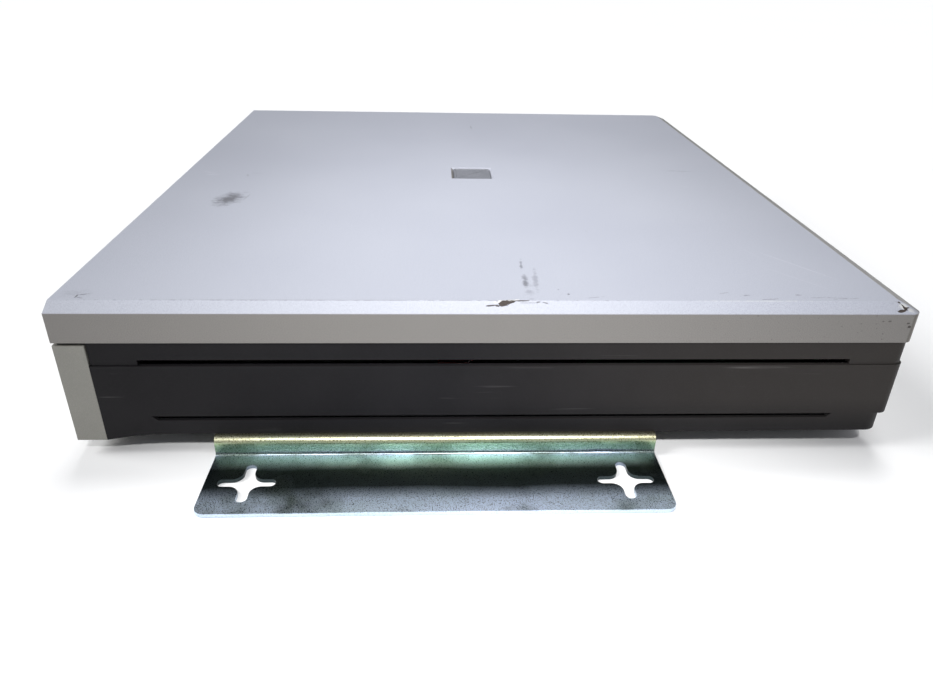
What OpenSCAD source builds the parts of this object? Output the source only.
// Desktop digital video recorder with a pair of screw-down side brackets.
// The front faces -Y and +Z is up. The origin lies on the mounting surface,
// under the middle of the case. All sizes are millimetres.

/* [Case] */
// Width of the case, side to side
case_w = 440; // [420:1:540]
// Depth of the case, front to rear
case_d = 392; // [376:1:470]
// Height of the housing's lower band
low_h = 10; // [8:0.5:14]
// Height of the housing's middle band
mid_h = 27; // [26:0.5:36]
// Height of the upper frame
frame_h = 12; // [10:0.5:16]
// Height of the cover's upright skirt
skirt_h = 14.5; // [13:0.5:20]
// Height of the chamfer along the cover's sides and rear
chamfer_h = 3.5; // [2:0.25:5]
// Width of the chamfer at the sides, seen from above
chamfer_w = 7; // [4:0.5:9]
// Width of the chamfer at the rear, seen from above
rear_chamfer_w = 8.2; // [4:0.1:10]
// Wall thickness of the moulded shells
wall = 2.5; // [2:0.1:3.2]
// Radius of the case's rear corners
corner_r = 5; // [4:0.5:8]
// How far the lower band steps in at the rear
rear_step = 2; // [1:0.1:4]
// Length of the long vent slots in the sides
vent_len = 326; // [240:1:330]
// Depth of the square recess for the badge
badge_recess = 1.2; // [0.8:0.1:1.5]
// Side of the square badge plate
badge_w = 25; // [18:0.5:34]

/* [Front] */
// Depth of the front bezel
bezel_d = 14; // [13:0.5:18]
// How far the bezel hangs below the housing
bezel_drop = 3.3; // [1:0.1:5]
// Height of the dark gap between the cover and the bezel
reveal = 1.5; // [1:0.1:3]
// Width of the bezel's rim at each side of the fascia
rim_side = 9; // [7:0.5:14]
// Width of the bezel's rim above and below the fascia
rim_top = 5; // [4:0.5:6]
// Thickness of the fascia plate
fascia_t = 2.5; // [2:0.1:3]
// Width of a channel key
channel_key_w = 13; // [9:0.5:14]
// Width of a transport key
transport_key_w = 20; // [14:0.5:23]
// Height of every key
key_h = 9; // [7:0.5:10]
// Travel of every key
key_travel = 0.8; // [0.4:0.1:0.8]
// Radius of the shuttle ring
shuttle_r = 17.6; // [15:0.1:18.4]
// Radius of the jog dial
jog_r = 12.8; // [11:0.1:14]
// Radius of the power button
power_r = 8; // [6:0.5:10]
// Width of the slim disc drive
disc_drive_w = 128; // [126:1:132]

/* [Rear] */
// How far the rear panel sits inside the case
panel_recess = 8; // [7:0.5:12]
// Number of columns of video jacks, two jacks in each
jack_columns = 8; // [4:1:8]
// Spacing of the video jacks
jack_pitch = 17; // [16.5:0.1:18]
// Side of the cooling fan
fan_w = 40; // [30:1:40]

/* [Brackets] */
// Height of the case above the mounting surface
step_h = 11.5; // [11:0.5:20]
// Thickness of the bracket steel
sheet = 2; // [1.5:0.1:2.5]
// Length of each bracket
bracket_len = 212; // [140:1:260]
// How far the bracket's flange reaches past the case
flange_reach = 46; // [40:1:60]
// How far the bracket's web stands off the case side
web_offset = 4; // [3.6:0.1:8]
// Length of each arm pair in the cross-shaped slot
slot_len = 26.5; // [20:0.5:32]
// Width of the slot's arms
slot_w = 5; // [4:0.1:6.5]
// Distance from a slot's centre to the bracket's end
slot_edge = 19; // [17:0.5:30]

/* [Inside] */
// Thickness of the inner chassis steel
tray_t = 1; // [0.8:0.1:1.2]
// Height of the circuit board standoffs
standoff_h = 6; // [5:0.5:8]
// Thickness of the circuit boards
board_t = 1.6; // [1.2:0.1:2]
// Width of a hard drive
drive_w = 101.6; // [98:0.1:102]
// Depth of a hard drive
drive_d = 147; // [140:1:148]
// Height of a hard drive
drive_h = 26.1; // [20:0.1:26.5]

/* [Hidden] */
$fn = 48;

fit = 0.2;          // gap between fixed pieces that slide together
run = 0.35;         // gap between a moving piece and what surrounds it
bore_gap = 0.06;    // radial gap of a shaft in its bearing
skin = 0.3;         // how far the black shells sit inside the cover's skirt
eps = 1;            // how far a cutting shape runs past a face
flat_r = 6;         // radius of the flat top's rear corners
inner_r = 1.5;      // radius of the rear corners inside the cover and the frame
base_r = corner_r + 3;  // radius of the lower band's rear corners

// Heights, from the mounting surface up
z_base = step_h;
z_mid = z_base + low_h;
z_frame = z_mid + mid_h;
z_skirt = z_frame + frame_h;
z_chamfer = z_skirt + skirt_h;
z_top = z_chamfer + chamfer_h;
z_bezel = z_base - bezel_drop;
bezel_top = z_skirt - reveal;
z_panel_mid = (z_bezel + bezel_top) / 2;
z_tray = z_base + wall;
z_deck = z_tray + tray_t;
z_board = z_deck + standoff_h;

// Places along Y
y_front = -case_d / 2;
y_rear = case_d / 2;
y_bezel = y_front + bezel_d;
y_fascia = y_front + 1.5;
y_fascia_back = y_fascia + fascia_t;
y_panel = y_rear - panel_recess;
y_panel_in = y_panel - tray_t;

// Front fascia and its rows of controls
fascia_w = case_w - 2 * rim_side;
fascia_h = bezel_top - z_bezel - 2 * rim_top;
fascia_r = 4;
key_flange = 1;
key_flange_t = 1;
key_proud = 1;
row_gap = 18;
z_row_top = z_panel_mid + row_gap / 2;
z_row_low = z_panel_mid - row_gap / 2;
key_block_x = -52;
channel_pitch = channel_key_w + 4;
transport_pitch = transport_key_w + 7;
jog_x = case_w / 2 - 98;
power_x = case_w / 2 - 34;
y_control = y_front + 9;
switch_t = y_control - (y_fascia_back + run + key_flange_t + key_travel) - 0.1;
encoder_r = 10;
encoder_bore = 3;
encoder_t = 5;

// Disc drive
disc_drive_d = 126;
disc_drive_h = 12.7;
disc_x = -case_w / 2 + 17 + disc_drive_w / 2;
disc_z = z_row_top - 1.7;
disc_y = y_bezel + 1;
disc_wall = 0.6;
disc_travel = 108;
disc_r = 60;
tray_w = disc_drive_w - 2 * disc_wall - 2 * run;
tray_h = disc_drive_h - 2 * disc_wall - 2 * run;
strip_t = 3;

// Rear connectors
panel_w = case_w - 28;
panel_open = panel_w - 6;
z_jack_low = z_board + 11;
z_jack_top = z_jack_low + jack_pitch;
jack_x = case_w / 2 - 40;
jack_r = 4.8;
jack_len = 14;
audio_x = jack_x - jack_columns * jack_pitch - 6;
audio_pitch = 14;
port_x = audio_x - audio_pitch - 30;
terminal_w = 56;
terminal_x = port_x - 24 - terminal_w / 2;
fan_x = -case_w / 2 + 105;
fan_z = z_tray + 3 + fan_w / 2;
fan_t = 20;
fan_bore = fan_w / 2 - 1;
fan_shaft = 1.5;
inlet_x = -case_w / 2 + 36;
inlet_z = z_tray + 22;
rocker_x = inlet_x + 28;
rocker_rest = 8;
rocker_w = 10;

// Circuit boards and drives
board_w = jack_x + 14 - (terminal_x - terminal_w / 2 - 4);
board_x = jack_x + 14 - board_w / 2;
board_d = 138;
board_y = y_panel_in - board_d / 2 - fit;
psu_w = 104;
psu_d = 138;
psu_x = -case_w / 2 + 20 + psu_w / 2;
psu_y = y_panel_in - fan_t - 6 - psu_d / 2;
drive_z = z_deck + 4;
drive_y = y_bezel + 10 + drive_d / 2;
drive_xs = [case_w / 2 - 182, case_w / 2 - 74];
rail_t = 1.2;

// Cable headers along the main board's front edge
header_y = board_y - board_d / 2 + 8;
z_header = z_board + board_t + 8;
sata_side = 24;
ribbon_x = drive_xs[0] - drive_w / 2 - 24;

// Brackets and fixings
bend_in = 1.5;
bend_out = bend_in + sheet;
bracket_y = y_front + 65 + bracket_len / 2;
web_x = case_w / 2 + web_offset;
flange_end = case_w / 2 + flange_reach;
top_flange = 42;
slot_x = (web_x + flange_end) / 2;
slot_fillet = 5;
bracket_screw_x = case_w / 2 - 11;
bracket_screw_ys = [for (t = [-0.4, 0, 0.4]) bracket_y + t * bracket_len];
screw_r = 1.9;
screw_gap = 0.1;
boss_h = 7;
cover_screw_xs = [-case_w / 2 + 70, case_w / 2 - 70];
foot_r = 9;
foot_h = 5.5;
foot_xs = [-case_w / 2 + 60, case_w / 2 - 60];
foot_ys = [y_front + 56, y_rear - 32];

cover_silver = "#b9bac6";
bezel_silver = "#9b9a98";
case_black = "#242426";
gloss_black = "#0d0d10";
zinc = "#a9b3a2";
steel = "#b4b8bb";
board_green = "#1d6b3c";
chip_black = "#1a1a1c";

// ---- Shared shapes ----

// Outline of the case from y0 to y1, with both rear corners rounded
module plan(y0, y1, w, r) {
    translate([-w / 2, y0]) square([w, y1 - y0 - r]);
    translate([-w / 2 + r, y0]) square([w - 2 * r, y1 - y0]);
    for (side = [-1, 1]) translate([side * (w / 2 - r), y1 - r]) circle(r);
}

// A centred rectangle with round corners
module rounded(w, h, r) {
    square([w - 2 * r, h], center = true);
    square([w, h - 2 * r], center = true);
    for (x = [-1, 1], y = [-1, 1]) translate([x * (w / 2 - r), y * (h / 2 - r)]) circle(r);
}

// A slab between two heights
module slab(z0, z1) translate([0, 0, z0]) linear_extrude(z1 - z0) children();

// Draws a (y, z) outline along X, or an (x, z) outline along Y
module along_x(len) rotate([90, 0, 90]) linear_extrude(len, center = true) children();
module along_y(len) rotate([90, 0, 0]) linear_extrude(len, center = true) children();

// Turns local +Z to the front, or to the rear
module to_front(x, y, z) translate([x, y, z]) rotate([90, 0, 0]) children();
module to_rear(x, y, z) translate([x, y, z]) rotate([-90, 0, 0]) children();

module box(x0, x1, y0, y1, z0, z1) translate([x0, y0, z0]) cube([x1 - x0, y1 - y0, z1 - z0]);

// A tube of round wire along straight runs between points
module wire(points, r) {
    $fn = 16;
    for (i = [0 : len(points) - 2]) {
        a = points[i];
        b = points[i + 1];
        d = b - a;
        translate(a)
            rotate([0, acos(d.z / norm(d)), atan2(d.y, d.x)])
                cylinder(h = norm(d), r = r);
    }
    for (i = [1 : len(points) - 2]) translate(points[i]) sphere(r * 1.12);
}

// A flat strip along X whose centreline follows (y, z) points
module strip(points, w, t) {
    for (i = [0 : len(points) - 2]) {
        a = points[i];
        d = points[i + 1] - a;
        translate([0, a.x, a.y]) rotate([atan2(d.y, d.x), 0, 0])
            translate([-w / 2, 0, -t / 2]) cube([w, norm(d), t]);
    }
    for (i = [1 : len(points) - 2])
        translate([-w / 2, points[i].x, points[i].y]) rotate([0, 90, 0]) cylinder(h = w, r = t / 2);
}

// A pan head screw, head down, whose shank starts at z = 0
module screw(head_r, head_h, shank_r, shank_l) {
    cylinder(h = shank_l, r = shank_r);
    difference() {
        translate([0, 0, -head_h]) cylinder(h = head_h, r = head_r);
        for (turn = [0, 90]) rotate(turn)
            translate([-head_r * 0.6, -head_r * 0.12, -head_h - eps])
                cube([head_r * 1.2, head_r * 0.24, eps + head_h * 0.5]);
    }
}

// ---- Case ----

// The cover's outer form: an upright skirt, then a chamfer along the sides and the rear.
// A shallow cone rounds each rear corner of the flat top down to the skirt's own corner.
module cover_form() {
    low = skirt_h + eps;
    high = chamfer_h + eps;
    side_run = chamfer_w / chamfer_h;
    rear_run = rear_chamfer_w / chamfer_h;
    cone_out = 0.4;
    cone_x = chamfer_w + flat_r - cone_out;
    cone_y = rear_chamfer_w + flat_r - cone_out;
    cone_r = norm([cone_x - corner_r, cone_y - corner_r]) + corner_r + 0.6;
    cone_run = (cone_r - flat_r) / chamfer_h;
    past = 0.1;
    difference() {
        intersection() {
            slab(z_skirt, z_top) plan(y_front, y_rear, case_w, corner_r);
            along_y(case_d + 2 * eps) polygon([
                [-case_w / 2 - low * side_run, z_chamfer - low], [case_w / 2 + low * side_run, z_chamfer - low],
                [case_w / 2 - high * side_run, z_chamfer + high],
                [-case_w / 2 + high * side_run, z_chamfer + high]]);
            along_x(case_w + 2 * eps)
                polygon([[y_front - eps, z_chamfer - low], [y_rear + low * rear_run, z_chamfer - low],
                    [y_rear - high * rear_run, z_chamfer + high], [y_front - eps, z_chamfer + high]]);
        }
        for (side = [0, 1]) mirror([side, 0, 0]) difference() {
            box(case_w / 2 - cone_x, case_w / 2 + eps, y_rear - cone_y, y_rear + eps, z_chamfer, z_top + past);
            translate([case_w / 2 - cone_x, y_rear - cone_y, z_chamfer - past]) cylinder(
                h = chamfer_h + 3 * past, r1 = cone_r + past * cone_run, r2 = flat_r - 2 * past * cone_run);
        }
    }
}

module top_cover() color(cover_silver) {
    rib_z = z_top - wall - 3;
    rib_t = 1.5;
    inner_w = case_w - 2 * (wall + chamfer_w);
    difference() {
        cover_form();
        slab(z_skirt - eps, z_chamfer - 1)
            plan(y_front + wall, y_rear - wall, case_w - 2 * wall, inner_r);
        slab(z_chamfer - 1 - eps, z_top - wall)
            plan(y_front + wall, y_rear - wall - rear_chamfer_w, inner_w, inner_r);
        slab(z_top - badge_recess, z_top + eps) rounded(badge_w + 3.5, badge_w + 3.5, 2);
        for (x = cover_screw_xs)
            to_front(x, y_rear + eps, z_skirt + skirt_h / 2) cylinder(h = wall + 2 * eps, r = 1.8);
    }
    for (y = [-case_d / 3, -case_d / 6, case_d / 6, case_d / 3])
        box(-inner_w / 2, inner_w / 2, y - rib_t / 2, y + rib_t / 2, rib_z, z_top - wall);
    for (x = [-case_w / 4, case_w / 4])
        box(x - rib_t / 2, x + rib_t / 2, y_front + wall, y_rear - wall - rear_chamfer_w, rib_z, z_top - wall);
}

module cover_badge() color("#55565c")
    slab(z_top - badge_recess, z_top - badge_recess + 0.8) rounded(badge_w, badge_w, 1.5);

module upper_frame() color(case_black) {
    frame_wall = wall + 1;
    lip_in = wall + fit;
    lip_t = 2;
    lip_h = 6;
    difference() {
        union() {
            difference() {
                slab(z_frame, z_skirt) plan(y_bezel, y_rear - skin, case_w - 2 * skin, corner_r);
                slab(z_frame - eps, z_skirt + eps)
                    plan(y_bezel + frame_wall, y_rear - frame_wall, case_w - 2 * frame_wall, inner_r);
            }
            difference() {
                slab(z_skirt - 4, z_skirt + lip_h)
                    plan(y_front + lip_in, y_rear - lip_in, case_w - 2 * lip_in, inner_r);
                slab(z_skirt - 4 - eps, z_skirt + lip_h + eps)
                    plan(y_front + lip_in + lip_t, y_rear - lip_in - lip_t,
                        case_w - 2 * (lip_in + lip_t), inner_r);
                box(-case_w, case_w, y_front - eps, y_bezel + 1, z_skirt - 4 - eps, bezel_top);
            }
            box(-case_w / 2 + 1.2, case_w / 2 - 1.2, y_front + 1.2, y_bezel + frame_wall, bezel_top, z_skirt);
            for (x = cover_screw_xs)
                to_front(x, y_rear - lip_in, z_skirt + skirt_h / 2) cylinder(h = boss_h, r = 4);
            for (x = cover_screw_xs)
                box(x - 4, x + 4, y_rear - lip_in - boss_h, y_rear - lip_in, z_skirt, z_skirt + skirt_h / 2);
        }
        for (side = [0, 1]) mirror([side, 0, 0])
            side_vent(vent_len + 4, z_frame - eps, z_frame + 2.8, 0);
        box(-panel_open / 2, panel_open / 2, y_panel, y_rear + eps, z_frame - eps, z_skirt - 2);
        for (x = cover_screw_xs)
            to_front(x, y_rear + eps, z_skirt + skirt_h / 2) cylinder(h = boss_h + wall, r = 1.5);
        box(-case_w / 2 + 12, case_w / 2 - 12, y_bezel - eps, y_bezel + frame_wall + eps,
            z_frame - eps, bezel_top);
    }
}

// Long slot through the side wall; its ends slant by the given length
module side_vent(len, z0, z1, slant) {
    mid = (y_front + y_rear) / 2 + 4;
    translate([case_w / 2 - wall - 1 - eps, 0, 0]) rotate([90, 0, 90]) linear_extrude(wall + 2 + 2 * eps)
        polygon([[mid - len / 2 + slant, z0], [mid + len / 2 - slant, z0],
            [mid + len / 2, z1], [mid - len / 2, z1]]);
}

// The underside sweeps down to meet the bezel's lower edge
module front_sweep() {
    sweep = 31;
    steps = 12;
    along_x(case_w)
        polygon(concat(
            [for (i = [0 : steps]) let (t = i / steps)
                [y_bezel + sweep * (1 - t), z_base - bezel_drop * t * t]],
            [[y_bezel, z_base + 1], [y_bezel + sweep, z_base + 1]]));
}

module lower_housing() color(case_black) {
    inner_w = case_w - 2 * wall;
    difference() {
        union() {
            slab(z_base, z_mid) plan(y_bezel, y_rear - rear_step, case_w - 2 * skin, base_r);
            slab(z_mid, z_frame) plan(y_bezel, y_rear - skin, case_w - 2 * skin, corner_r);
            intersection() {
                front_sweep();
                slab(0, z_mid) square([case_w - 2 * skin, case_d], center = true);
            }
        }
        difference() {
            slab(z_tray, z_frame + eps)
                plan(y_bezel + wall, y_rear - rear_step - wall, inner_w - skin, base_r - wall);
            housing_bosses();
        }
        box(-panel_open / 2, panel_open / 2, y_panel, y_rear + eps, z_tray + 1, z_frame + eps);
        box(-case_w / 2 + 12, case_w / 2 - 12, y_bezel - eps, y_bezel + wall + eps,
            z_tray + 1, z_frame + eps);
        for (side = [0, 1]) mirror([side, 0, 0])
            side_vent(vent_len, z_mid - 2.3, z_mid, 2.5);
        for (side = [-1, 1], y = bracket_screw_ys)
            translate([side * bracket_screw_x, y, z_base - eps])
                cylinder(h = boss_h + eps, r = screw_r + screw_gap);
        for (row = [-1, 1], i = [-6 : 6])
            translate([i * 11, row * case_d / 5, z_base - eps])
                linear_extrude(wall + 2 * eps) rounded(4, case_d / 6, 1.9);
    }
}

// Posts that take the bracket screws
module housing_bosses()
    for (side = [-1, 1], y = bracket_screw_ys)
        translate([side * bracket_screw_x, y, z_tray - eps]) cylinder(h = boss_h + eps, r = 4.5);

module feet() color("#151515")
    for (x = foot_xs, y = foot_ys) translate([x, y, z_base - foot_h]) difference() {
        cylinder(h = foot_h, r1 = foot_r - 1, r2 = foot_r);
        translate([0, 0, -eps]) cylinder(h = eps + 2, r = 4);
    }

// ---- Front ----

module front_bezel() color(bezel_silver) {
    front_t = y_fascia_back - y_front;
    ledge = 2;
    difference() {
        box(-case_w / 2 + skin, case_w / 2 - skin, y_front, y_bezel, z_bezel, bezel_top);
        to_front(jog_x, y_bezel, z_panel_mid) cylinder(h = bezel_d + eps, r = shuttle_r + 2 * run);
        box(-case_w / 2 + wall, case_w / 2 - wall, y_front + front_t + 1.5, y_bezel + eps,
            z_bezel + wall, bezel_top - wall);
        to_front(0, y_fascia_back, z_panel_mid) linear_extrude(front_t + eps)
            rounded(fascia_w + 2 * fit, fascia_h + 2 * fit, fascia_r);
        to_front(0, y_front + front_t + 1.5 + eps, z_panel_mid) linear_extrude(front_t + 2 * eps)
            rounded(fascia_w - 2 * ledge, fascia_h - 2 * ledge, fascia_r);
    }
}

function channel_x(i) = key_block_x + i * channel_pitch;
function transport_x(i) = key_block_x + 3.5 + i * transport_pitch;
led_xs = [for (i = [0 : 4]) disc_x + 14 + i * 10];
ir_x = disc_x - 14;
usb_x = disc_x - 46;

module front_fascia() color(gloss_black)
    to_front(0, y_fascia_back, z_panel_mid) difference() {
        linear_extrude(fascia_t) rounded(fascia_w, fascia_h, fascia_r);
        translate([0, -z_panel_mid, -eps]) linear_extrude(fascia_t + 2 * eps) {
            for (i = [0 : 7]) translate([channel_x(i), z_row_top])
                rounded(channel_key_w + 2 * run, key_h + 2 * run, 1.5);
            for (i = [0 : 4]) translate([transport_x(i), z_row_low])
                rounded(transport_key_w + 2 * run, key_h + 2 * run, 1.5);
            translate([disc_x, disc_z])
                square([disc_drive_w + 2 * run, disc_drive_h + 2 * run], center = true);
            translate([jog_x, z_panel_mid]) circle(shuttle_r + run);
            translate([power_x, z_panel_mid]) circle(power_r + run);
            translate([usb_x, z_row_low]) square([14.4, 6.8], center = true);
            translate([ir_x, z_row_low]) rounded(16, 7, 2);
            for (x = led_xs) translate([x, z_row_low]) circle(1.6);
        }
    }

module ir_window() color("#3b0d12")
    to_front(ir_x, y_fascia_back, z_row_low) linear_extrude(fascia_t - 0.2) rounded(16 - fit, 7 - fit, 1.9);

module status_leds() color("#49d160")
    for (x = led_xs) to_front(x, y_control, z_row_low) {
        cylinder(h = y_control - y_fascia - 0.2, r = 1.4);
        cylinder(h = 1.2, r = 1.9);
    }

module usb_port() color(steel)
    to_front(usb_x, y_control, z_row_low) {
        shell_l = y_control - y_fascia - 0.3;
        difference() {
            linear_extrude(shell_l) rounded(13.6, 6, 0.6);
            translate([0, 0, 1]) linear_extrude(shell_l) square([12.6, 5], center = true);
        }
        translate([0, 0.9, 0.5]) linear_extrude(shell_l - 1.2) square([11.4, 1.8], center = true);
    }

// A key cap with a flange behind the fascia that stops it falling out
module key(x, z, w, h) {
    to_front(x, y_fascia_back, z) linear_extrude(fascia_t + key_proud) rounded(w, h, 1.2);
    to_front(x, y_fascia_back + run + key_flange_t, z)
        linear_extrude(key_flange_t) square([w + 2 * key_flange, h + 2 * key_flange], center = true);
    to_front(x, y_fascia_back + run + 0.1, z) linear_extrude(run + 0.2) rounded(w - 1, h - 1, 1);
}

module channel_key(i) color("#c9cad0") key(channel_x(i), z_row_top, channel_key_w, key_h);

module transport_key(i) color(i == 3 ? "#b8323a" : "#c9cad0")
    key(transport_x(i), z_row_low, transport_key_w, key_h);

module power_button() color("#c9cad0") {
    to_front(power_x, y_fascia_back + run + 0.1, z_panel_mid)
        cylinder(h = run + 0.1 + fascia_t + key_proud, r = power_r);
    to_front(power_x, y_fascia_back + run + key_flange_t, z_panel_mid)
        cylinder(h = key_flange_t, r = power_r + key_flange);
}

module shuttle_ring() color("#8f9094") {
    back = y_control - 2;
    to_front(jog_x, back, z_panel_mid) difference() {
        cylinder(h = back - y_front + 3, r = shuttle_r);
        translate([0, 0, -eps]) cylinder(h = case_d, r = encoder_r + bore_gap);
        translate([0, 0, 3]) cylinder(h = case_d, r = jog_r + run);
        for (i = [0 : 23]) rotate(i * 15)
            translate([shuttle_r, 0, 4]) cylinder(h = case_d, r = 0.6, $fn = 16);
    }
}

module jog_dial() color("#c9cad0") {
    dial_back = y_control - encoder_t - run;
    to_front(jog_x, dial_back, z_panel_mid) difference() {
        union() {
            cylinder(h = dial_back - y_front + 6, r = jog_r);
            translate([0, 0, -encoder_t + 1]) cylinder(h = encoder_t, r = encoder_bore);
        }
        translate([jog_r * 0.55, 0, dial_back - y_front + 5]) cylinder(h = 2, r = 3.4);
    }
}

module control_board() color(board_green) {
    x0 = key_block_x - 22;
    difference() {
        union() {
            box(x0, power_x + 16, y_control, y_control + board_t,
                z_bezel + wall + 1.5, bezel_top - wall - 1.5);
            to_front(jog_x, y_control, z_panel_mid) cylinder(h = encoder_t, r = encoder_r);
            for (i = [0 : 7]) switch_at(channel_x(i), z_row_top);
            for (i = [0 : 4]) switch_at(transport_x(i), z_row_low);
            switch_at(power_x, z_panel_mid);
        }
        to_front(jog_x, y_control, z_panel_mid) cylinder(h = encoder_t + eps, r = encoder_bore + bore_gap);
    }
    box(usb_x - 10, x0 + 1, y_control, y_control + board_t, z_bezel + wall + 1.5, z_row_low + 6);
}

module switch_at(x, z) to_front(x, y_control, z) {
    linear_extrude(switch_t - 0.5) square(6, center = true);
    cylinder(h = switch_t, r = 1.7);
}

// ---- Disc drive ----

module disc_drive_case() color(steel) {
    z0 = disc_z - disc_drive_h / 2;
    difference() {
        box(disc_x - disc_drive_w / 2, disc_x + disc_drive_w / 2, disc_y, disc_y + disc_drive_d,
            z0, z0 + disc_drive_h);
        box(disc_x - disc_drive_w / 2 + disc_wall, disc_x + disc_drive_w / 2 - disc_wall,
            disc_y - eps, disc_y + disc_drive_d - disc_wall, z0 + disc_wall, z0 + disc_drive_h - disc_wall);
    }
    for (side = [-1, 1], y = [disc_y + 20, disc_y + disc_drive_d - 20])
        translate([disc_x + side * (disc_drive_w / 2 - 8), y, z_deck]) cylinder(h = z0 - z_deck, r = 3);
}

module disc_tray() color("#2e2e31") {
    back = disc_y + disc_drive_d - disc_wall - 1;
    z0 = disc_z - tray_h / 2;
    button_w = 9;
    difference() {
        union() {
            box(disc_x - tray_w / 2, disc_x + tray_w / 2, y_fascia + strip_t, back, z0, z0 + tray_h);
            box(disc_x - disc_drive_w / 2, disc_x + disc_drive_w / 2, y_fascia, y_fascia + strip_t,
                disc_z - disc_drive_h / 2, disc_z + disc_drive_h / 2);
        }
        translate([disc_x, back - disc_r - 0.6, z0 + tray_h - 2.5]) difference() {
            cylinder(h = 3, r = disc_r);
            translate([0, 0, -eps]) cylinder(h = eps + 2, r = 11);
        }
        translate([disc_x, back - disc_r - 0.6, z0 + tray_h - 5]) difference() {
            cylinder(h = 8, r = 22);
            translate([0, 0, -eps]) cylinder(h = 8, r = 11);
        }
        to_front(disc_x + disc_drive_w / 2 - 18, y_fascia + 6, disc_z)
            linear_extrude(8) rounded(button_w + 2 * run, 4 + 2 * run, 1.2);
    }
}

module eject_button() color("#8f9094")
    to_front(disc_x + disc_drive_w / 2 - 18, y_fascia + 4, disc_z)
        linear_extrude(4.6) rounded(9, 4, 1);

// ---- Rear ----

module rear_panel() color(steel) difference() {
    box(-panel_w / 2, panel_w / 2, y_panel_in, y_panel, z_deck, z_skirt - 2.4);
    for (i = [0 : jack_columns - 1], z = [z_jack_low, z_jack_top])
        to_rear(jack_x - i * jack_pitch, y_panel_in - eps, z) cylinder(h = tray_t + 2 * eps, r = 6.2);
    for (i = [0, 1], z = [z_jack_low, z_jack_top])
        to_rear(audio_x - i * audio_pitch, y_panel_in - eps, z) cylinder(h = tray_t + 2 * eps, r = 5);
    box(port_x - 16, port_x + 16, y_panel_in - eps, y_panel + eps, z_jack_top - 6.4, z_jack_top + 6.4);
    box(port_x - 8.2, port_x + 8.2, y_panel_in - eps, y_panel + eps,
        z_board + board_t - 0.2, z_board + board_t + 14);
    box(terminal_x - terminal_w / 2 - fit, terminal_x + terminal_w / 2 + fit, y_panel_in - eps, y_panel + eps,
        z_board + board_t - 0.2, z_board + board_t + 11.4);
    box(inlet_x - 14.2, rocker_x + 7.4, y_panel_in - eps, y_panel + eps, inlet_z - 10.6, inlet_z + 10.6);
    to_rear(fan_x, y_panel_in - eps, fan_z) cylinder(h = tray_t + 2 * eps, r = fan_bore);
    for (x = [-1, 1], z = [-1, 1])
        to_rear(fan_x + x * fan_w * 0.4, y_panel_in - eps, fan_z + z * fan_w * 0.4)
            cylinder(h = tray_t + 2 * eps, r = 1.7);
    for (i = [0 : 8], j = [0 : 1])
        to_rear(terminal_x - 24 + i * 6, y_panel_in - eps, z_jack_top - 3 + j * 6)
            cylinder(h = tray_t + 2 * eps, r = 1.8);
}

module video_jacks() color("#c3c4bf")
    for (i = [0 : jack_columns - 1], z = [z_jack_low, z_jack_top])
        to_rear(jack_x - i * jack_pitch, y_panel, z) {
        rotate_extrude() polygon([[3.6, 0.2], [7, 0.2], [7, 2.2], [5.9, 2.2], [5.9, 3.4], [jack_r, 3.4],
            [jack_r, jack_len - 0.6], [jack_r - 0.6, jack_len], [3.6, jack_len]]);
        rotate_extrude() polygon([[0, -12], [5.4, -12], [5.4, 0.2], [3.6, 0.2], [3.6, 1.6], [0, 1.6]]);
        for (side = [-1, 1]) translate([0, side * (jack_r - 0.5), jack_len - 4])
            rotate([side * -90, 0, 0]) cylinder(h = 1.6, r = 1);
    }

module jack_contacts() color("#e8e4d8")
    for (i = [0 : jack_columns - 1], z = [z_jack_low, z_jack_top])
        to_rear(jack_x - i * jack_pitch, y_panel + 1.6, z) difference() {
            cylinder(h = 8.4, r = 1.7);
            translate([0, 0, 4]) cylinder(h = 8, r = 0.5);
        }

module audio_jacks() color("#d6d6d2")
    for (i = [0, 1], z = [z_jack_low, z_jack_top]) to_rear(audio_x - i * audio_pitch, y_panel, z)
        rotate_extrude() polygon([[0, -10], [4.6, -10], [4.6, 0.2], [6, 0.2], [6, 1.8], [4.1, 1.8], [4.1, 9],
            [1.7, 9], [1.7, 2], [0, 2]]);

module vga_port() color("#b9bcc2") to_rear(port_x, y_panel, z_jack_top) {
    linear_extrude(1) difference() {
        rounded(30.8, 12.4, 1);
        for (side = [-1, 1]) translate([side * 12.5, 0]) circle(1.5);
    }
    translate([0, 0, -9]) linear_extrude(9) square([30, 11.6], center = true);
    difference() {
        linear_extrude(6) polygon([[-8.4, 4.2], [8.4, 4.2], [9.2, 3.2], [8, -4.2], [-8, -4.2], [-9.2, 3.2]]);
        translate([0, 0, 1.5]) linear_extrude(6)
            polygon([[-7.8, 3.7], [7.8, 3.7], [8.5, 3], [7.5, -3.7], [-7.5, -3.7], [-8.5, 3]]);
    }
}

module network_port() color("#c6c8ca") {
    z0 = z_board + board_t;
    difference() {
        box(port_x - 8, port_x + 8, y_panel - 15, y_panel + 1.2, z0, z0 + 13.4);
        box(port_x - 5.9, port_x + 5.9, y_panel - 12, y_panel + 1.2 + eps, z0 + 3, z0 + 10.6);
    }
    for (i = [0 : 7]) box(port_x - 4 + i * 1.02, port_x - 3.6 + i * 1.02, y_panel - 12, y_panel - 3,
        z0 + 9.8, z0 + 10.6);
}

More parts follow.
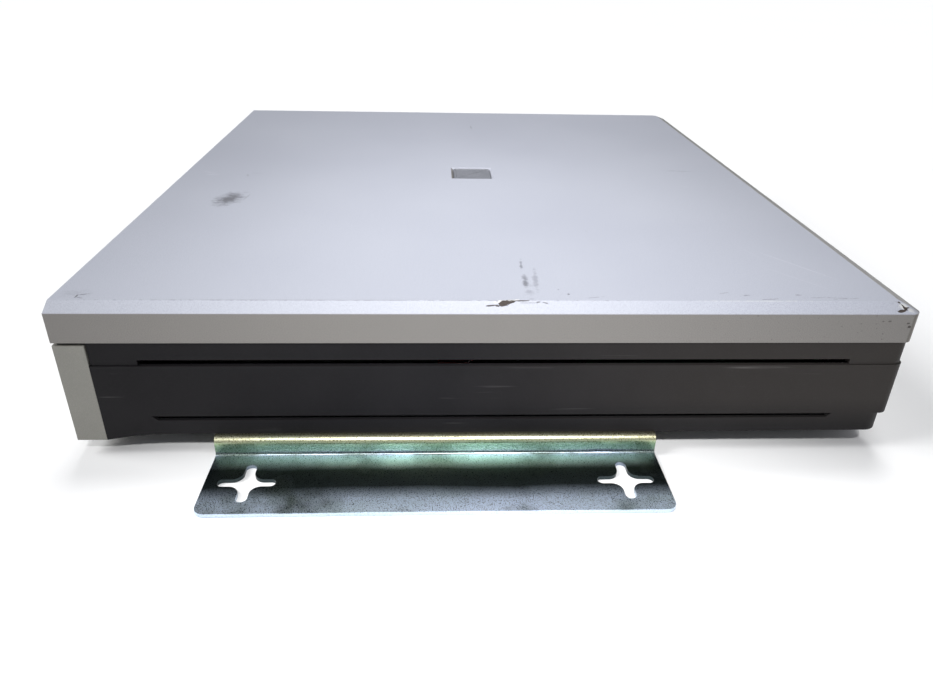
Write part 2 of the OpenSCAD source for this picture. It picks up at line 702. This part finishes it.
module terminal_block() color("#2f8f55") {
    pitch = 3.9;
    count = floor((terminal_w - 2) / pitch);
    z0 = z_board + board_t;
    difference() {
        box(terminal_x - terminal_w / 2, terminal_x + terminal_w / 2, y_panel - 9, y_panel + 4,
            z0, z0 + 11.2);
        for (i = [0 : count - 1]) {
            x = terminal_x + (i - (count - 1) / 2) * pitch;
            box(x - 1.4, x + 1.4, y_panel - 2, y_panel + 4 + eps, z0 + 1.6, z0 + 5.2);
            to_rear(x, y_panel + 1, z0 + 8.4) cylinder(h = 4, r = 1.4, $fn = 24);
        }
    }
}

module power_inlet() color("#161618") {
    depth = 17;
    difference() {
        union() {
            to_rear((inlet_x - 14 + rocker_x + 7.2) / 2, y_panel, inlet_z)
                linear_extrude(2) rounded(rocker_x - inlet_x + 24.6, 24.4, 2);
            box(inlet_x - 14, rocker_x + 7.2, y_panel - depth, y_panel, inlet_z - 10.4, inlet_z + 10.4);
        }
        to_rear(inlet_x, y_panel - depth + 2, inlet_z)
            linear_extrude(depth + 2) polygon([[-12, 8], [-12, -4], [-8, -8], [8, -8], [12, -4], [12, 8]]);
        box(rocker_x - rocker_w / 2 - run, rocker_x + rocker_w / 2 + run,
            y_panel - depth + 5, y_panel + 2 + eps, inlet_z - 9, inlet_z + 9);
    }
    for (pin = [[-7, 1.5], [0, -1.5], [7, 1.5]])
        box(inlet_x + pin.x - 1, inlet_x + pin.x + 1, y_panel - depth + 2, y_panel - 3,
            inlet_z + pin.y - 2, inlet_z + pin.y + 2);
    for (side = [-1, 1]) {
        stub = rocker_w / 2 + run;
        translate([rocker_x + side * (stub - 1.2), y_panel - 4, inlet_z])
            rotate([0, side * 90, 0]) cylinder(h = 1.5, r = 1.4);
    }
}

// The rocker sits on two stub pins; at rest its upper end stands out
module rocker_switch() color("#26262a")
    translate([rocker_x, y_panel - 4, inlet_z]) rotate([rocker_rest, 0, 0]) difference() {
        along_x(rocker_w) polygon([[-5, -5], [-5, 5], [4, 8], [6.6, 8], [5.2, 0], [6.6, -8], [4, -8]]);
        rotate([0, 90, 0]) cylinder(h = rocker_w + 2, r = 1.4 + bore_gap, center = true);
    }

module fan_frame() color("#1d1d20") to_rear(fan_x, y_panel_in - fan_t, fan_z) {
    difference() {
        linear_extrude(fan_t) rounded(fan_w, fan_w, 2.5);
        translate([0, 0, -eps]) cylinder(h = fan_t + 2 * eps, r = fan_bore);
        for (x = [-1, 1], y = [-1, 1]) translate([x * fan_w * 0.4, y * fan_w * 0.4, -eps])
            cylinder(h = fan_t + 2 * eps, r = 1.7);
    }
    difference() {
        union() {
            cylinder(h = 3, r = fan_bore / 2);
            cylinder(h = 9, r = 3.4);
            for (turn = [45 : 90 : 315]) rotate(turn)
                translate([fan_bore / 2 - 1, -1, 0]) cube([fan_bore / 2 + 1.2, 2, 2.5]);
        }
        translate([0, 0, 1]) cylinder(h = 20, r = fan_shaft + bore_gap);
    }
}

module fan_rotor() color("#2b2b2f") to_rear(fan_x, y_panel_in - fan_t, fan_z) {
    hub_r = fan_bore / 2;
    tip_r = fan_bore - 0.7;
    difference() {
        translate([0, 0, 3.6]) cylinder(h = fan_t - 4.6, r = hub_r);
        translate([0, 0, 3.6 - eps]) cylinder(h = fan_t - 6.6 + eps, r = hub_r - 1.2);
    }
    translate([0, 0, 2]) cylinder(h = fan_t - 4, r = fan_shaft);
    intersection() {
        for (i = [0 : 6]) rotate(i * 360 / 7)
            translate([hub_r - 0.6, 0, 3.6 + (fan_t - 4.6) / 2]) rotate([38, 0, 0])
                translate([0, -8, -0.5]) cube([tip_r, 16, 1]);
        translate([0, 0, 4.4]) difference() {
            cylinder(h = fan_t - 6.2, r = tip_r);
            translate([0, 0, -eps]) cylinder(h = fan_t, r = hub_r - 0.6);
        }
    }
}

module fan_guard() color("#c9cbc9") to_rear(fan_x, y_panel, fan_z) {
    for (r = [4.5 : 4.5 : fan_bore - 0.8]) rotate_extrude() translate([r, 1]) circle(0.7, $fn = 16);
    for (turn = [45, 135]) rotate(turn)
        translate([-fan_w * 0.566, -0.8, 1.2]) cube([fan_w * 1.132, 1.6, 0.9]);
    for (turn = [45 : 90 : 315]) rotate(turn) translate([fan_w * 0.566, 0, 0]) cylinder(h = 2.1, r = 2.6);
}

// ---- Chassis, boards and drives ----

board_posts = [for (x = [-0.46, 0.46], y = [-0.44, 0.44]) [board_x + x * board_w, board_y + y * board_d]];
psu_posts = [for (x = [-0.45, 0.45], y = [-0.45, 0.45]) [psu_x + x * psu_w, psu_y + y * psu_d]];

module chassis_tray() color("#a8adb0") {
    half = case_w / 2 - wall - skin - 1.5;
    y0 = y_bezel + wall + 1;
    edge_h = 14;
    difference() {
        union() {
            slab(z_tray, z_deck) plan(y0, y_panel, 2 * half, base_r - wall);
            for (side = [-1, 1])
                box(side * half - (side > 0 ? tray_t : 0), side * half + (side > 0 ? 0 : tray_t),
                    y0, y_panel_in - 10, z_tray, z_tray + edge_h);
            for (p = concat(board_posts, psu_posts))
                translate([p.x, p.y, z_deck]) cylinder(h = standoff_h, r = 3);
        }
        for (side = [-1, 1], y = bracket_screw_ys)
            translate([side * bracket_screw_x, y, z_tray - eps]) cylinder(h = 4, r = 5);
        for (p = concat(board_posts, psu_posts))
            translate([p.x, p.y, z_deck + 1]) cylinder(h = standoff_h, r = 1.3);
        for (row = [-1, 1], i = [-6 : 6]) translate([i * 11, row * case_d / 5, z_tray - eps])
            linear_extrude(tray_t + 2 * eps) rounded(4, case_d / 6, 1.9);
    }
}

module board_plate(x, y, w, d, posts) difference() {
    box(x - w / 2, x + w / 2, y - d / 2, y + d / 2, z_board, z_board + board_t);
    for (p = posts) translate([p.x, p.y, z_board - eps]) cylinder(h = board_t + 2 * eps, r = 1.6);
}

module main_board() color(board_green) {
    board_plate(board_x, board_y, board_w, board_d, board_posts);
    for (x = [ribbon_x, drive_xs[0] + sata_side, drive_xs[1] + sata_side])
        box(x - 9, x + 9, header_y - 4, header_y + 4, z_board + board_t, z_header);
}

module board_chips() color(chip_black) {
    z0 = z_board + board_t;
    for (i = [0 : jack_columns - 1]) {
        x = jack_x - i * jack_pitch;
        box(x - 5, x + 5, board_y + 22, board_y + 34, z0, z0 + 1.6);
    }
    for (i = [0 : 3])
        box(board_x - 20 + i * 18, board_x - 8 + i * 18, board_y - 20, board_y + 2, z0, z0 + 1.4);
    box(board_x + 66, board_x + 90, board_y - 24, board_y, z0, z0 + 2);
    box(board_x - 74, board_x - 54, board_y - 14, board_y + 6, z0, z0 + 1.8);
}

module chip_heatsink() color("#9aa0a6") {
    z0 = z_board + board_t + 2;
    x0 = board_x + 60;
    box(x0, x0 + 36, board_y - 30, board_y + 6, z0, z0 + 3);
    for (i = [0 : 8]) box(x0 + i * 4.25, x0 + i * 4.25 + 1.8, board_y - 30, board_y + 6, z0 + 3, z0 + 15);
}

module board_capacitors() color("#3a4a80") {
    z0 = z_board + board_t;
    for (i = [0 : 4]) translate([board_x + 52, board_y - 50 + i * 14, z0]) cylinder(h = 11, r = 4);
    for (i = [0 : 3]) translate([board_x - 100, board_y - 46 + i * 16, z0]) cylinder(h = 14, r = 5);
}

module psu_board() color("#a07a3a") board_plate(psu_x, psu_y, psu_w, psu_d, psu_posts);

module psu_components() color("#caa53a") {
    z0 = z_board + board_t;
    for (i = [0, 1]) translate([psu_x - 26 + i * 28, psu_y + 44, z0]) cylinder(h = 26, r = 11);
    box(psu_x - 18, psu_x + 16, psu_y - 22, psu_y + 12, z0, z0 + 27);
    box(psu_x - 24, psu_x + 22, psu_y - 16, psu_y + 6, z0, z0 + 22);
    for (x = [psu_x - 40, psu_x + 32]) {
        box(x, x + 3, psu_y - 50, psu_y + 30, z0, z0 + 28);
        for (i = [0 : 2]) box(x - 4, x + 7, psu_y - 46 + i * 34, psu_y - 44 + i * 34, z0 + 6, z0 + 28);
    }
    for (i = [0 : 3]) translate([psu_x - 22 + i * 14, psu_y - 52, z0]) cylinder(h = 20, r = 5);
}

// Perforated steel guard over the mains supply
module psu_guard() color(steel) {
    x0 = psu_x - psu_w / 2 - 2;
    x1 = psu_x + psu_w / 2 + 2;
    y0 = psu_y - psu_d / 2;
    y1 = psu_y + psu_d / 2;
    z1 = z_board + board_t + 31;
    difference() {
        box(x0, x1, y0, y1, z_deck, z1);
        box(x0 + tray_t, x1 - tray_t, y0 - eps, y1 + eps, z_deck - eps, z1 - tray_t);
        for (i = [0 : 8], j = [0 : 10]) translate([x0 + 14 + i * 10, y0 + 14 + j * 11, z1 - 3])
            cylinder(h = 5, r = 3, $fn = 6);
    }
}

module hard_drive(x) color("#b0b3b6") {
    x0 = x - drive_w / 2;
    y0 = drive_y - drive_d / 2;
    difference() {
        box(x0, x0 + drive_w, y0, y0 + drive_d, drive_z + 1, drive_z + drive_h - 1.5);
        for (side = [-1, 1], y = [y0 + 28, y0 + 70, y0 + 130])
            translate([x + side * drive_w / 2, y, drive_z + 6.4]) rotate([0, -side * 90, 0])
                translate([0, 0, -eps]) cylinder(h = 5, r = 1.4);
    }
    slab(drive_z + drive_h - 1.5, drive_z + drive_h)
        translate([x, drive_y]) rounded(drive_w - 5, drive_d - 6, 5);
    slab(drive_z, drive_z + 1) translate([x, drive_y + 12]) rounded(drive_w - 8, drive_d - 40, 3);
}

// Folded steel bridge that carries both hard drives off the chassis
module drive_bridge() color(steel) {
    y0 = drive_y - 46;
    y1 = drive_y + 46;
    top = drive_z + drive_h + 1.2;
    x0 = drive_xs[0] - drive_w / 2 - 1;
    x1 = drive_xs[1] + drive_w / 2 + 1;
    mid = (drive_xs[0] + drive_xs[1]) / 2;
    difference() {
        box(x0 - rail_t, x1 + rail_t, y0, y1, top, top + rail_t);
        for (x = drive_xs) slab(top - eps, top + rail_t + eps) translate([x, drive_y]) rounded(60, 60, 6);
    }
    for (x = [x0 - rail_t, mid - rail_t / 2, x1])
        box(x, x + rail_t, y0, y1, z_deck, top);
    box(x0 - 9, x0 - rail_t, y0, y1, z_deck, z_deck + rail_t);
    box(x1 + rail_t, x1 + 6, y0, y1, z_deck, z_deck + rail_t);
}

module sata_cables() color("#b8362f")
    for (x = drive_xs) translate([x + sata_side, 0, 0])
        strip([[drive_y + drive_d / 2, drive_z + 5], [drive_y + drive_d / 2 + 16, drive_z + 5],
            [drive_y + drive_d / 2 + 30, z_header + 6], [header_y, z_header + 6],
            [header_y, z_header]], 8, 1.6);

module power_harness() color("#d8b62c")
    for (i = [0 : 3]) {
        y_drive = drive_y + drive_d / 2;
        x0 = psu_x + 6 + i * 4;
        x1 = drive_xs[1] - 30 + i * 3;
        y0 = psu_y - psu_d / 2 + 4;
        y1 = y_drive + 22 + i * 3;
        wire([[x0, y0, z_board + board_t], [x0, y0, z_board + 14], [x0, y1, drive_z + 1], [x1, y1, drive_z + 1],
            [x1, y_drive + 6, drive_z + 4], [x1, y_drive, drive_z + 4]], 0.9);
    }

// Flat ribbon from the main board to the control board
module panel_ribbon() color("#8c9096")
    translate([ribbon_x, 0, 0])
        strip([[y_control + board_t, z_deck + 9], [y_bezel, z_deck + 9], [y_bezel + 9, z_deck + 2],
            [header_y - 34, z_deck + 2], [header_y - 14, z_header + 6], [header_y, z_header + 6],
            [header_y, z_header]], 16, 0.9);

// ---- Brackets and fixings ----

// Cross-shaped keyhole: two crossed round-ended slots with round inner corners
module cross_slot() {
    for (turn = [0, 90]) rotate(turn) {
        square([slot_len - slot_w, slot_w], center = true);
        for (side = [-1, 1]) translate([side * (slot_len - slot_w) / 2, 0]) circle(slot_w / 2);
    }
    difference() {
        square(2 * slot_fillet + slot_w, center = true);
        for (x = [-1, 1], y = [-1, 1]) translate([x, y] * (slot_fillet + slot_w / 2)) circle(slot_fillet);
    }
}

module quarter_bend(turn) rotate(turn) intersection() {
    difference() {
        circle(bend_out);
        circle(bend_in);
    }
    square(bend_out + eps);
}

module bracket() color(zinc) difference() {
    union() {
        translate([0, bracket_y, 0]) along_y(bracket_len) {
            translate([case_w / 2 - top_flange, z_base - sheet])
                square([top_flange + web_offset - bend_out, sheet]);
            translate([web_x - bend_out, z_base - bend_out]) quarter_bend(0);
            translate([web_x - sheet, bend_out]) square([sheet, z_base - 2 * bend_out]);
            translate([web_x + bend_in, bend_out]) quarter_bend(180);
            translate([web_x + bend_in, 0]) square([flange_end - web_x - bend_in, sheet]);
        }
    }
    for (side = [-1, 1]) {
        translate([slot_x, bracket_y + side * (bracket_len / 2 - slot_edge), -eps])
            linear_extrude(sheet + 2 * eps) cross_slot();
        translate([flange_end - 5, bracket_y + side * (bracket_len / 2 - 5), -eps])
            linear_extrude(sheet + 2 * eps) difference() {
                translate([0, side > 0 ? 0 : -5 - eps]) square([5 + eps, 5 + eps]);
                circle(5);
            }
    }
    for (y = bracket_screw_ys) translate([bracket_screw_x, y, z_base - sheet - eps])
        cylinder(h = sheet + 2 * eps, r = 2.2);
}

module bracket_screws() color("#c8cac6")
    for (side = [-1, 1], y = bracket_screw_ys) translate([side * bracket_screw_x, y, z_base - sheet])
        screw(4, 2.4, screw_r, sheet + boss_h - 1);

module cover_screws() color("#3a3a3d")
    for (x = cover_screw_xs) to_front(x, y_rear, z_skirt + skirt_h / 2) screw(3.2, 1.8, 1.4, boss_h);

top_cover();
cover_badge();
upper_frame();
lower_housing();
front_bezel();
front_fascia();
rear_panel();
chassis_tray();
main_board();
board_chips();
chip_heatsink();
board_capacitors();
video_jacks();
jack_contacts();
audio_jacks();
vga_port();
network_port();
terminal_block();
power_inlet();
psu_board();
psu_components();
psu_guard();
hard_drive(drive_xs[0]);  // hard_drive_left
hard_drive(drive_xs[1]);  // hard_drive_right
drive_bridge();
disc_drive_case();
control_board();
status_leds();
ir_window();
usb_port();
fan_frame();
fan_guard();
sata_cables();
power_harness();
panel_ribbon();
bracket();  // bracket_right
mirror([1, 0, 0]) bracket();  // bracket_left
bracket_screws();
cover_screws();
feet();
disc_tray();
eject_button();
power_button();
for (i = [0 : 7]) channel_key(i);
transport_key(0);  // rewind_key
transport_key(1);  // play_key
transport_key(2);  // stop_key
transport_key(3);  // record_key
transport_key(4);  // forward_key
jog_dial();
shuttle_ring();
fan_rotor();
rocker_switch();
